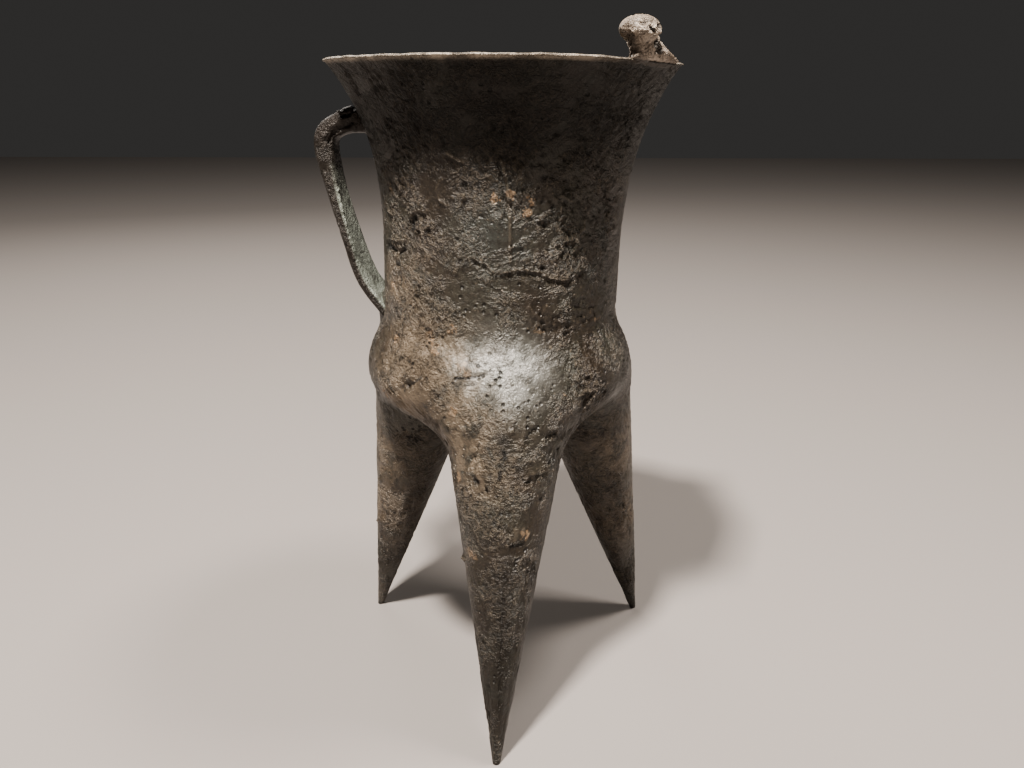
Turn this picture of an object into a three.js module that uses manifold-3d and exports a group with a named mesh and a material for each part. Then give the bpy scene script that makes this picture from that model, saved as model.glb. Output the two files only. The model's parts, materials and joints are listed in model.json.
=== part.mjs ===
// A bronze wine vessel of early type, cast in one piece: a hollow body on three pouch-shaped
// hollow legs, with a flared mouth, a strap handle and two capped posts on the lip, placed
// alike on either side of the handle's plane.
// Millimetres, +Z up. One leg points to -Y, the handle to -X. The origin is on the ground,
// under the middle of the footprint box.
import * as THREE from "three";
import { mergeVertices } from "three/addons/utils/BufferGeometryUtils.js";
import Module from "manifold-3d";

const wasm = await Module();
wasm.setup();

// Mouth and neck
const rimHeight = 320;
const waistHeight = 198;
const waistRadius = 58.5;
const mouthFlare = 27; // how far the rim stands out beyond the waist
const flarePower = 3.6; // how late the flare opens
const wall = 3;
const mouthShift = 1.6; // the casting leans a little towards the post
const lipSag = 2.5; // the lip droops beside the post
const lipSagAzimuth = -25;
const lipSagWidth = 32;

// Belly
const bellyHeight = 171;
const bellyRadius = 67;
const bellyShift = -1.9;
const shoulderRound = 34;
const crotchDrop = 24; // from the widest place of the belly down to the underside
const waistBlend = 5;

// Legs
const legAzimuths = [-90, 30, 150];
const legLeans = [3.4, 0.8, 1.8]; // how far each leg's top stands to its left, seen from the axis
const legTopHeight = 150;
const legTopReach = 47.6; // from the vessel's axis to the leg's, at the leg's top
const footReach = 89.4;
const legTopRadius = 28.4;
const footRadius = 1.8;
const legBlend = 20;
const legFanHeight = 118; // the legs are plain cones below this height
const hollowEnd = 42; // the legs are solid below this height
const ridgeHeight = 1.3; // the seam left standing on the outer side of each leg
const ridgeHalfAngle = 36;

// Handle
const handleAzimuth = 175;
const handleTopHeight = 291.5;
const handleFootHeight = 199;
const handleReach = 88; // from the axis to the middle of the strap at its bend
const handleBendHeight = 281;
const handleTopWidth = 15;
const handleFootWidth = 27;
const handleTopThickness = 10.5;
const handleFootThickness = 6.6;
const handleBite = 1.6; // how deep the ends are cast into the wall

// Posts
const postAzimuths = [-47, 33];
const postHeight = 17; // above the lip
const postStemWidth = 14;
const postStemDepth = 7;
const postFootLong = 38; // length of the foot along the lip, on the side away from the handle
const postFootShort = 7;
const postRibWidth = 11;
const postRibOut = 3;
const capWidth = 19.5;
const capDepth = 16;
const capThickness = 12;

// Fineness of the facets
const ringSides = 60;
const outerFineness = { neckRings: 13, fanRings: 8, coneRings: 5 };
const innerFineness = { neckRings: 10, fanRings: 6, coneRings: 3 };
const valleySteps = 7;
const valleyCrowding = 1.5; // crowds the valley's points towards its outer end, where it bends most
const fanDelay = 1.5; // how late the rays of a leg's fan turn level
const handleSides = 12;
const handleRings = 18;
const postSides = 16;

const radians = THREE.MathUtils.degToRad;
const { clamp, lerp, smoothstep } = THREE.MathUtils;

// The vessel's own middle line: it wanders a little from belly to mouth.
function middleX(z) {
  return lerp(bellyShift, mouthShift, clamp((z - bellyHeight) / (handleTopHeight - bellyHeight), 0, 1));
}

function neckRadius(z) {
  const share = clamp((z - waistHeight) / (rimHeight - waistHeight), 0, 1);
  return waistRadius + mouthFlare * share ** flarePower;
}

function lipHeight(azimuthDegrees) {
  const away = Math.abs(((azimuthDegrees - lipSagAzimuth + 540) % 360) - 180);
  return rimHeight - lipSag * Math.exp(-((away / lipSagWidth) ** 2));
}

// The slope of the neck makes a wall of even thickness wider when it is measured level.
function levelWall(z) {
  const step = 0.5;
  const slope = (neckRadius(z + step) - neckRadius(z - step)) / (2 * step);
  return Math.hypot(1, slope);
}

function smoothMin(a, b, blend) {
  const near = Math.max(blend - Math.abs(a - b), 0) / blend;
  return Math.min(a, b) - (near * near * blend) / 4;
}

// Fields are negative inside the bronze's outline, and inset moves the outline inwards.
function neckField(across, z, inset) {
  const side = across - neckRadius(z) + inset * levelWall(z);
  return Math.max(side / levelWall(z), bellyHeight - z);
}

function bellyField(across, z, inset) {
  const round = shoulderRound - inset;
  const drop = crotchDrop - inset;
  const rise = z - bellyHeight;
  const up = rise > 0 ? rise : (rise * round) / drop;
  const out = across - (bellyRadius - shoulderRound);
  return Math.hypot(Math.max(out, 0), up) - round;
}

const legs = legAzimuths.map((azimuth, k) => {
  const outward = new THREE.Vector3(Math.cos(radians(azimuth)), Math.sin(radians(azimuth)), 0);
  const along = new THREE.Vector3(-outward.y, outward.x, 0);
  const foot = outward.clone().multiplyScalar(footReach);
  const top = outward.clone().multiplyScalar(legTopReach).addScaledVector(along, legLeans[k]);
  return { azimuth, outward, along, foot, top: top.setZ(legTopHeight) };
});

function legCentre(leg, z) {
  return leg.foot.clone().lerp(leg.top, clamp(z / legTopHeight, 0, 1));
}

// Radius of a leg at a height, with the seam ridge on its outer side.
function legRadius(z, angle) {
  const share = clamp(z / legTopHeight, 0, 1);
  const ridge = Math.max(0, 1 - Math.abs(angle) / radians(ridgeHalfAngle));
  const fade = smoothstep(z, 0, 25) * (1 - smoothstep(z, 70, 130));
  return lerp(footRadius, legTopRadius, share) + ridgeHeight * ridge * fade;
}

function legField(leg, x, y, z, inset) {
  const centre = legCentre(leg, z);
  const dx = x - centre.x;
  const dy = y - centre.y;
  const out = dx * leg.outward.x + dy * leg.outward.y;
  const side = dx * leg.along.x + dy * leg.along.y;
  const above = Math.max(0, z - legTopHeight);
  const below = inset > 0 ? Math.max(0, hollowEnd + hollowRadius(inset) - z) : 0;
  const seam = inset > 0 ? Math.PI : Math.atan2(side, out);
  return Math.hypot(out, side, above, below) - legRadius(z, seam) + inset;
}

// Radius of the round bottom of a leg's hollow.
function hollowRadius(inset) {
  return legRadius(hollowEnd, Math.PI) - inset;
}

function vesselField(x, y, z, inset) {
  const across = Math.hypot(x - middleX(z), y);
  const body = smoothMin(neckField(across, z, inset), bellyField(across, z, inset), waistBlend);
  return legs.reduce((d, leg) => smoothMin(d, legField(leg, x, y, z, inset), legBlend), body);
}

// Where a ray that starts inside first leaves the field.
function leave(start, direction, inset) {
  const step = 1.5;
  const value = (t) =>
    vesselField(start.x + direction.x * t, start.y + direction.y * t, start.z + direction.z * t, inset);
  let near = 0;
  let far = step;
  while (value(far) < 0 && far < 4 * rimHeight) {
    near = far;
    far += step;
  }
  for (let i = 0; i < 24; i++) {
    const middle = (near + far) / 2;
    if (value(middle) < 0) near = middle;
    else far = middle;
  }
  return start.clone().addScaledVector(direction, near);
}

// One skin of the vessel, outer or inner, as rings of points and the faces between them.
function buildSkin(inset, { neckRings, fanRings, coneRings }, points, faces) {
  const add = (p) => points.push(p.clone()) - 1;
  const quad = (a, b, c, d) => {
    faces.push([a, b, c], [a, c, d]);
  };
  const turn = 360 / ringSides;
  const firstAzimuth = -150;
  const azimuthOf = (j) => firstAzimuth + j * turn;

  // Neck and upper belly: rings from the lip down to the widest place.
  const rings = [];
  for (let i = 0; i <= neckRings; i++) {
    const share = i / neckRings;
    const ring = [];
    for (let j = 0; j < ringSides; j++) {
      const azimuth = radians(azimuthOf(j));
      const z = lerp(lipHeight(azimuthOf(j)), bellyHeight, share ** 0.85);
      const start = new THREE.Vector3(middleX(z), 0, z);
      const direction = new THREE.Vector3(Math.cos(azimuth), Math.sin(azimuth), 0);
      ring.push(add(leave(start, direction, inset)));
    }
    rings.push(ring);
  }
  for (let i = 0; i < neckRings; i++)
    for (let j = 0; j < ringSides; j++) {
      const next = (j + 1) % ringSides;
      quad(rings[i][j], rings[i + 1][j], rings[i + 1][next], rings[i][next]);
    }

  // Valleys between the legs, from the widest place down and in to the middle of the underside.
  const heart = new THREE.Vector3(bellyShift, 0, bellyHeight);
  const sector = ringSides / legs.length;
  const lowest = add(leave(heart, new THREE.Vector3(0, 0, -1), inset));
  const valleys = legs.map((leg, k) => {
    const azimuth = radians(azimuthOf(k * sector));
    const valley = [rings[neckRings][k * sector]];
    for (let i = 1; i < valleySteps; i++) {
      const dip = (Math.PI / 2) * (i / valleySteps) ** valleyCrowding;
      const level = Math.cos(dip);
      const direction = new THREE.Vector3(
        Math.cos(azimuth) * level,
        Math.sin(azimuth) * level,
        -Math.sin(dip),
      );
      valley.push(add(leave(heart, direction, inset)));
    }
    valley.push(lowest);
    return valley;
  });

  // Each leg is a sock: a fan of rays turns from its opening loop to level, then goes down level.
  const end = inset > 0 ? hollowEnd + 0.3 * hollowRadius(inset) : 0;
  legs.forEach((leg, k) => {
    const right = valleys[k];
    const left = valleys[(k + 1) % legs.length];
    const loop = [];
    for (let j = 0; j <= sector; j++) loop.push(rings[neckRings][(k * sector + j) % ringSides]);
    loop.push(...left.slice(1));
    loop.push(...right.slice(1, -1).reverse());
    const count = loop.length;
    const opening = loop.map((index) => points[index].clone().sub(heart).normalize());
    const level = loop.map((index, j) => {
      const angle = (2 * Math.PI * (j - sector / 2)) / count;
      return leg.outward.clone().multiplyScalar(Math.cos(angle)).addScaledVector(leg.along, Math.sin(angle));
    });
    let above = loop;
    const joinRing = (ring) => {
      for (let j = 0; j < count; j++) {
        const next = (j + 1) % count;
        quad(above[j], ring[j], ring[next], above[next]);
      }
      above = ring;
    };
    const fanPath = new THREE.QuadraticBezierCurve3(
      heart,
      legCentre(leg, legTopHeight),
      legCentre(leg, legFanHeight),
    );
    for (let i = 1; i <= fanRings; i++) {
      const share = i / fanRings;
      const source = fanPath.getPoint(share);
      const turned = share ** fanDelay;
      joinRing(level.map((to, j) => add(leave(source, opening[j].clone().lerp(to, turned).normalize(), inset))));
    }
    for (let i = 1; i <= coneRings; i++) {
      const source = legCentre(leg, lerp(legFanHeight, end, i / coneRings));
      joinRing(level.map((to) => add(leave(source, to, inset))));
    }
    const tip = add(legCentre(leg, inset > 0 ? hollowEnd : 0));
    for (let j = 0; j < count; j++) faces.push([above[j], tip, above[(j + 1) % count]]);
  });
  return rings[0];
}

function geometryOf(points, faces) {
  const geometry = new THREE.BufferGeometry();
  geometry.setAttribute("position", new THREE.Float32BufferAttribute(points.flatMap((p) => p.toArray()), 3));
  geometry.setIndex(faces.flat());
  return geometry;
}

// The body: outer skin, inner skin with its faces turned round, and the flat lip between them.
function makeBody() {
  const points = [];
  const faces = [];
  const outerLip = buildSkin(0, outerFineness, points, faces);
  const turned = [];
  const innerLip = buildSkin(wall, innerFineness, points, turned);
  turned.forEach(([a, b, c]) => faces.push([a, c, b]));
  for (let j = 0; j < ringSides; j++) {
    const next = (j + 1) % ringSides;
    faces.push([outerLip[j], outerLip[next], innerLip[next]], [outerLip[j], innerLip[next], innerLip[j]]);
  }
  return geometryOf(points, faces);
}

// A closed loft through rings of points, with both ends filled from their middles.
function loft(rings) {
  const points = rings.flat();
  const sides = rings[0].length;
  const faces = [];
  for (let i = 0; i < rings.length - 1; i++)
    for (let j = 0; j < sides; j++) {
      const a = i * sides + j;
      const b = i * sides + ((j + 1) % sides);
      faces.push([a, b, b + sides], [a, b + sides, a + sides]);
    }
  const middleOf = (ring) =>
    ring.reduce((sum, p) => sum.add(p), new THREE.Vector3()).divideScalar(ring.length);
  const first = points.push(middleOf(rings[0])) - 1;
  const last = points.push(middleOf(rings[rings.length - 1])) - 1;
  const top = (rings.length - 1) * sides;
  for (let j = 0; j < sides; j++) {
    const next = (j + 1) % sides;
    faces.push([first, next, j], [last, top + j, top + next]);
  }
  return geometryOf(points, faces);
}

// Strap handle, shaped in the plane y = 0 on the -X side and then turned to its azimuth.
function makeHandle() {
  const topInside = -(neckRadius(handleTopHeight) - handleBite) + middleX(handleTopHeight);
  const footInside = -(waistRadius - handleBite) + middleX(handleFootHeight);
  const straight = handleBendHeight - handleFootHeight;
  const path = new THREE.CatmullRomCurve3(
    [
      [topInside, handleTopHeight],
      [lerp(topInside, -handleReach, 0.55), handleTopHeight - 1],
      [-handleReach + 2, lerp(handleTopHeight, handleBendHeight, 0.5)],
      [-handleReach, handleBendHeight],
      [-handleReach + 4, handleBendHeight - straight * 0.27],
      [-handleReach + 10.5, handleBendHeight - straight * 0.55],
      [-handleReach + 18, handleBendHeight - straight * 0.82],
      [footInside, handleFootHeight - 2],
    ].map(([x, z]) => new THREE.Vector3(x, 0, z)),
    false,
    "centripetal",
  );
  const rings = [];
  for (let i = 0; i <= handleRings; i++) {
    const share = i / handleRings;
    const centre = path.getPointAt(share);
    const tangent = path.getTangentAt(share);
    const outward = new THREE.Vector3(tangent.z, 0, -tangent.x).negate();
    const width = lerp(handleTopWidth, handleFootWidth, smoothstep(share, 0.15, 0.95)) / 2;
    const thickness = lerp(handleTopThickness, handleFootThickness, smoothstep(share, 0.15, 0.6)) / 2;
    const ring = [];
    for (let j = 0; j < handleSides; j++) {
      const angle = (2 * Math.PI * (j + 0.5)) / handleSides;
      const corner = (v) => Math.sign(v) * Math.abs(v) ** 0.6;
      ring.push(
        centre
          .clone()
          .addScaledVector(outward, corner(Math.sin(angle)) * thickness)
          .add(new THREE.Vector3(0, corner(Math.cos(angle)) * width, 0)),
      );
    }
    rings.push(ring);
  }
  return loft(rings).rotateZ(radians(handleAzimuth - 180));
}

// A point placed by the lip at an azimuth: along it, outwards from its middle, and above it.
function atLip(azimuth, along, outwards, above) {
  const middle = waistRadius + mouthFlare - (wall * levelWall(rimHeight - 1)) / 2;
  const slope = neckRadius(rimHeight) - neckRadius(rimHeight - 1);
  const angle = radians(azimuth) + along / middle;
  const reach = middle + outwards + Math.min(above, 0) * slope;
  return new THREE.Vector3(
    middleX(rimHeight) + reach * Math.cos(angle),
    reach * Math.sin(angle),
    lipHeight(THREE.MathUtils.radToDeg(angle)) + above,
  );
}

// Rings of a post, level by level: [above the lip, short side, long side, half depth, outwards].
// The long side points away from the handle.
function postRings(azimuth, levels) {
  const turned = azimuth < 0 ? 1 : -1;
  return levels.map(([above, short, long, halfDepth, outwards = 0]) => {
    const ring = [];
    for (let j = 0; j < postSides; j++) {
      const angle = (-2 * Math.PI * j) / postSides;
      const across = Math.cos(angle);
      const along = across * (across * turned > 0 ? long : short);
      ring.push(atLip(azimuth, along, outwards + Math.sin(angle) * halfDepth, above));
    }
    return ring;
  });
}

// Stem of a post: a foot that runs out along the lip and draws in to a flat stem.
function makePostStem(azimuth) {
  const halfWidth = postStemWidth / 2;
  const halfDepth = postStemDepth / 2;
  const stem = [
    [-3, postFootShort * 0.9, postFootLong * 0.8, 0.5],
    [-0.7, postFootShort, postFootLong * 0.92, 0.9],
    [postHeight * 0.03, postFootShort, postFootLong, 1.3],
    [postHeight * 0.15, halfWidth, postFootLong * 0.76, halfDepth * 0.7],
    [postHeight * 0.3, halfWidth, postFootLong * 0.52, halfDepth * 0.9],
    [postHeight * 0.5, halfWidth * 1.05, halfWidth * 1.75, halfDepth],
    [postHeight * 0.72, halfWidth * 1.2, halfWidth * 1.35, halfDepth],
  ];
  return loft(postRings(azimuth, stem));
}

// Rib on the outer side of the stem, widening to the lip.
function makePostRib(azimuth) {
  const half = postRibWidth / 2;
  const rib = [
    [-2.6, half * 0.8, half * 0.9, 0.6],
    [-0.4, half, half * 1.2, postRibOut / 2, postRibOut / 2],
    [postHeight * 0.2, half * 0.75, half * 0.9, postRibOut / 2, postRibOut * 0.8],
    [postHeight * 0.62, half * 0.5, half * 0.55, postRibOut / 2, postRibOut * 0.9],
  ];
  return loft(postRings(azimuth, rib));
}

// Cap of a post: a flattened dome.
function makePostCap(azimuth) {
  const cap = new THREE.SphereGeometry(0.5, postSides, postSides / 2);
  cap.rotateX(Math.PI / 2);
  cap.scale(capDepth, capWidth, capThickness);
  cap.rotateZ(radians(azimuth));
  const place = atLip(azimuth, 0, 0, postHeight - capThickness / 2);
  return cap.translate(place.x, place.y, place.z);
}

function solidOf(geometry) {
  const bare = geometry.clone();
  bare.deleteAttribute("normal");
  bare.deleteAttribute("uv");
  const merged = mergeVertices(bare, 1e-4);
  return new wasm.Manifold(
    new wasm.Mesh({
      numProp: 3,
      vertProperties: merged.attributes.position.array,
      triVerts: new Uint32Array(merged.index.array),
    }),
  );
}

function geometryFromSolid(solid) {
  const mesh = solid.getMesh();
  const geometry = new THREE.BufferGeometry();
  const positions = new Float32Array(mesh.numVert * 3);
  for (let i = 0; i < mesh.numVert; i++)
    positions.set(mesh.vertProperties.subarray(i * mesh.numProp, i * mesh.numProp + 3), i * 3);
  geometry.setAttribute("position", new THREE.BufferAttribute(positions, 3));
  geometry.setIndex(new THREE.BufferAttribute(mesh.triVerts, 1));
  geometry.computeVertexNormals();
  return geometry;
}

const posts = postAzimuths.flatMap((azimuth) => [
  makePostStem(azimuth),
  makePostRib(azimuth),
  makePostCap(azimuth),
]);
const casting = [makeHandle(), ...posts]
  .map(solidOf)
  .reduce((whole, piece) => whole.add(piece), solidOf(makeBody()));

const bronze = new THREE.MeshStandardMaterial({ color: 0x4d4a40, roughness: 0.62, metalness: 0.75 });
const vessel = new THREE.Mesh(geometryFromSolid(casting), bronze);
vessel.name = "jia_vessel";

const jia = new THREE.Group();
jia.add(vessel);
const footprint = new THREE.Box3().setFromObject(vessel);
const centre = footprint.getCenter(new THREE.Vector3());
jia.position.set(-centre.x, -centre.y, -footprint.min.z);
jia.updateMatrixWorld(true);

export default jia;
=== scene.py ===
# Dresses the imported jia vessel: the cast body with its corroded skin, the strap handle and the
# two capped posts, on a pale floor under soft light.
import json
import math

import bpy
import numpy as np
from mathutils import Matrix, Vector

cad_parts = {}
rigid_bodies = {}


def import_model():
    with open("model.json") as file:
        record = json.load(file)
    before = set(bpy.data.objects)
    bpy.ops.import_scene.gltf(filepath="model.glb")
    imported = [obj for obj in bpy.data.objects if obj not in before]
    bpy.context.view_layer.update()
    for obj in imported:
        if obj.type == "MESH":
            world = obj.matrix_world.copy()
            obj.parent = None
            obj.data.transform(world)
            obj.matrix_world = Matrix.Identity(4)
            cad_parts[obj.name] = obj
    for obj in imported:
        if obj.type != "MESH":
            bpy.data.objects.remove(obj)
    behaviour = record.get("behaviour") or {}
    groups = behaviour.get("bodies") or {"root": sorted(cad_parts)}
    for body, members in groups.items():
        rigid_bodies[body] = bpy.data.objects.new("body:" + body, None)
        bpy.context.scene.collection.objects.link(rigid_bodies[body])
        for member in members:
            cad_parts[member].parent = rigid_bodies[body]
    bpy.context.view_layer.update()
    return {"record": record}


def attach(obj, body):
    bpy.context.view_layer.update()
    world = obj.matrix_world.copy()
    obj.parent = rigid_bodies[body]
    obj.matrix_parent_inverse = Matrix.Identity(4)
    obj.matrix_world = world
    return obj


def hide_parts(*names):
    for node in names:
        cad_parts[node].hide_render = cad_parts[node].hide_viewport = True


print("loading the frame")
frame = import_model()
castNode = "jia_vessel"
mm = 0.001

# The three feet stand evenly round the vessel's own axis.
feet = [mount["pos_m"] for mount in frame["record"]["mounts"]]
axisX = sum(foot[0] for foot in feet) / len(feet)
axisY = sum(foot[1] for foot in feet) / len(feet)

# Camera: seen from a little below the lip, looking down on the feet
viewpoint = {
    "distance": 442.0,  # from the vessel's axis, level, in mm
    "height": 304.2,
    "azimuth": -87.757,  # where the camera stands round the vessel, in degrees
    "heading": 91.62,
    "pitchDown": 14.745,
    "lens": 31.28,
    "shiftY": -0.0547,
    "sensorWidth": 36,
    "clip": (0.01, 30),  # nearest and farthest, in metres
}


def placeCamera(settings):
    camera = bpy.data.objects.new("viewCamera", bpy.data.cameras.new("viewCamera"))
    bpy.context.scene.collection.objects.link(camera)
    bpy.context.scene.camera = camera
    stand = math.radians(settings["azimuth"])
    camera.location = (
        axisX + settings["distance"] * mm * math.cos(stand),
        axisY + settings["distance"] * mm * math.sin(stand),
        settings["height"] * mm,
    )
    camera.rotation_euler = (
        math.radians(90 - settings["pitchDown"]),
        0,
        math.radians(settings["heading"] - 90),
    )
    camera.data.lens = settings["lens"]
    camera.data.sensor_width = settings["sensorWidth"]
    camera.data.shift_y = settings["shiftY"]
    camera.data.clip_start, camera.data.clip_end = settings["clip"]


placeCamera(viewpoint)

# The cast body, in mm from the vessel's axis
castBody = {
    "rimHeight": 320.0,
    "waistHeight": 198.0,
    "waistRadius": 58.5,
    "mouthFlare": 27.0,
    "flarePower": 3.6,
    "wall": 3.0,
    "mouthShift": 1.6,
    "lipSag": 2.5,
    "lipSagAzimuth": -25.0,
    "lipSagWidth": 32.0,
    "lipRound": 0.9,
    "lipWear": 0.45,  # how unevenly the lip is worn down
    "lipWearEven": 0.6,  # the share of that wear that is the same all round
    "lipWaves": (9, 23, 41),
    "lipProfile": ((0.1, 0.3), (0.3, 0.0), (0.7, 0.0), (0.9, 0.3)),  # across the wall, then down
    # the lip's top band is painted pale: a painted highlight
    "lipHighlightBand": (0.3, 2.0),
    "bellyHeight": 171.0,
    "bellyRadius": 67.0,
    "bellyShift": -1.9,
    "shoulderRound": 34.0,
    "crotchDrop": 24.0,
    "waistBlend": 5.0,
    "legAzimuths": (-90.0, 30.0, 150.0),
    "legLeans": (3.4, 0.8, 1.8),
    "legTopHeight": 150.0,
    "legTopReach": 47.6,
    "footReach": 89.4,
    "legTopRadius": 28.4,
    "footRadius": 1.8,
    "legBlend": 20.0,
    "legFanHeight": 118.0,
    "hollowEnd": 42.0,
    "ridgeHeight": 1.3,
    "ridgeHalfAngle": 36.0,
    "ridgeStart": (0.0, 25.0),
    "ridgeEnd": (70.0, 130.0),
    "handleAzimuth": 175.0,
    "handleTopHeight": 291.5,
    "handleFootHeight": 199.0,
    "handleRootReach": (66.0, 57.5),
    "handleRootRadius": (4.6, 6.5),
    "handleRootBlend": 9.0,
    "sectorColumns": (184, 64, 64),  # finer on the side that is looked at most
    "neckRows": 150,
    "valleySteps": 30,
    "fanRings": 30,
    "coneRings": 50,
    "fanDelay": 1.5,
    "innerRows": 10,
    "innerFanRings": 7,
    "innerConeRings": 5,
    "rowPower": 0.9,  # below 1 the rows stand closer together further down
    "ringPower": 0.95,
    "hollowRound": 0.3,
    "searchSteps": 80,
    "searchStride": 0.66,
    "innerRelief": 0.35,
    "lipRelief": 0.15,
    "lipCalm": (-1.0, 6.0),  # from here to there below the lip the relief grows to its full height
    "footCalm": (2.0, 12.0),
    "calmShare": 0.72,
}
body = castBody


def ease(x, low, high):
    share = np.clip((x - low) / (high - low), 0.0, 1.0)
    return share * share * (3 - 2 * share)


def blendMin(a, b, blend):
    near = np.maximum(blend - np.abs(a - b), 0.0) / blend
    return np.minimum(a, b) - near * near * blend / 4


def middleLine(z):
    rise = (z - body["bellyHeight"]) / (body["handleTopHeight"] - body["bellyHeight"])
    return body["bellyShift"] + (body["mouthShift"] - body["bellyShift"]) * np.clip(rise, 0, 1)


def neckRadius(z):
    share = np.clip((z - body["waistHeight"]) / (body["rimHeight"] - body["waistHeight"]), 0, 1)
    return body["waistRadius"] + body["mouthFlare"] * share ** body["flarePower"]


def levelWall(z):
    return np.hypot(1.0, neckRadius(z + 0.5) - neckRadius(z - 0.5))


def lipHeight(azimuth):
    away = np.abs((azimuth - body["lipSagAzimuth"] + 540) % 360 - 180)
    return body["rimHeight"] - body["lipSag"] * np.exp(-((away / body["lipSagWidth"]) ** 2))


def outwardOf(azimuth):
    angle = math.radians(azimuth)
    return np.array([math.cos(angle), math.sin(angle), 0.0])


def makeLeg(index):
    outward = outwardOf(body["legAzimuths"][index])
    along = np.array([-outward[1], outward[0], 0.0])
    top = outward * body["legTopReach"] + along * body["legLeans"][index]
    top[2] = body["legTopHeight"]
    return {"outward": outward, "along": along, "foot": outward * body["footReach"], "top": top}


legs = [makeLeg(index) for index in range(3)]


def legCentre(leg, z):
    share = np.clip(np.asarray(z, float) / body["legTopHeight"], 0, 1)[..., None]
    return leg["foot"] + (leg["top"] - leg["foot"]) * share


def legRadius(z, angle):
    share = np.clip(z / body["legTopHeight"], 0, 1)
    ridge = np.maximum(0, 1 - np.abs(angle) / math.radians(body["ridgeHalfAngle"]))
    fade = ease(z, *body["ridgeStart"]) * (1 - ease(z, *body["ridgeEnd"]))
    width = body["footRadius"] + (body["legTopRadius"] - body["footRadius"]) * share
    return width + body["ridgeHeight"] * ridge * fade


def hollowRadius(inset):
    return legRadius(body["hollowEnd"], math.pi) - inset


def legField(leg, points, inset):
    z = points[:, 2]
    away = points - legCentre(leg, z)
    out = away @ leg["outward"]
    side = away @ leg["along"]
    above = np.maximum(0, z - body["legTopHeight"])
    if inset > 0:
        below = np.maximum(0, body["hollowEnd"] + hollowRadius(inset) - z)
        return np.sqrt(out**2 + side**2 + above**2 + below**2) - legRadius(z, math.pi) + inset
    return np.sqrt(out**2 + side**2 + above**2) - legRadius(z, np.arctan2(side, out))


# Where the handle grows out of the wall the cast body swells a little towards it.
handleOut = outwardOf(body["handleAzimuth"])
handleEnds = (body["handleTopHeight"], body["handleFootHeight"])
handleRoots = [
    (handleOut * reach + np.array([0, 0, height]), radius)
    for reach, height, radius in zip(body["handleRootReach"], handleEnds, body["handleRootRadius"])
]


def bodyField(points, inset):
    z = points[:, 2]
    across = np.hypot(points[:, 0] - middleLine(z), points[:, 1])
    neck = (across - neckRadius(z)) / levelWall(z) + inset
    neck = np.maximum(neck, body["bellyHeight"] - z)
    rounding = body["shoulderRound"] - inset
    drop = body["crotchDrop"] - inset
    rise = z - body["bellyHeight"]
    rise = np.where(rise > 0, rise, rise * rounding / drop)
    out = across - (body["bellyRadius"] - body["shoulderRound"])
    belly = np.hypot(np.maximum(out, 0), rise) - rounding
    field = blendMin(neck, belly, body["waistBlend"])
    for leg in legs:
        field = blendMin(field, legField(leg, points, inset), body["legBlend"])
    if inset == 0:
        for centre, radius in handleRoots:
            swelling = np.linalg.norm(points - centre, axis=1) - radius
            field = blendMin(field, swelling, body["handleRootBlend"])
    return field


def leaveBody(start, direction, inset):
    reach = np.zeros(len(direction))
    for _ in range(body["searchSteps"]):
        reach -= body["searchStride"] * bodyField(start + direction * reach[:, None], inset)
    return start + direction * reach[:, None]


def unit(vectors):
    return vectors / np.linalg.norm(vectors, axis=-1, keepdims=True)


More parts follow.
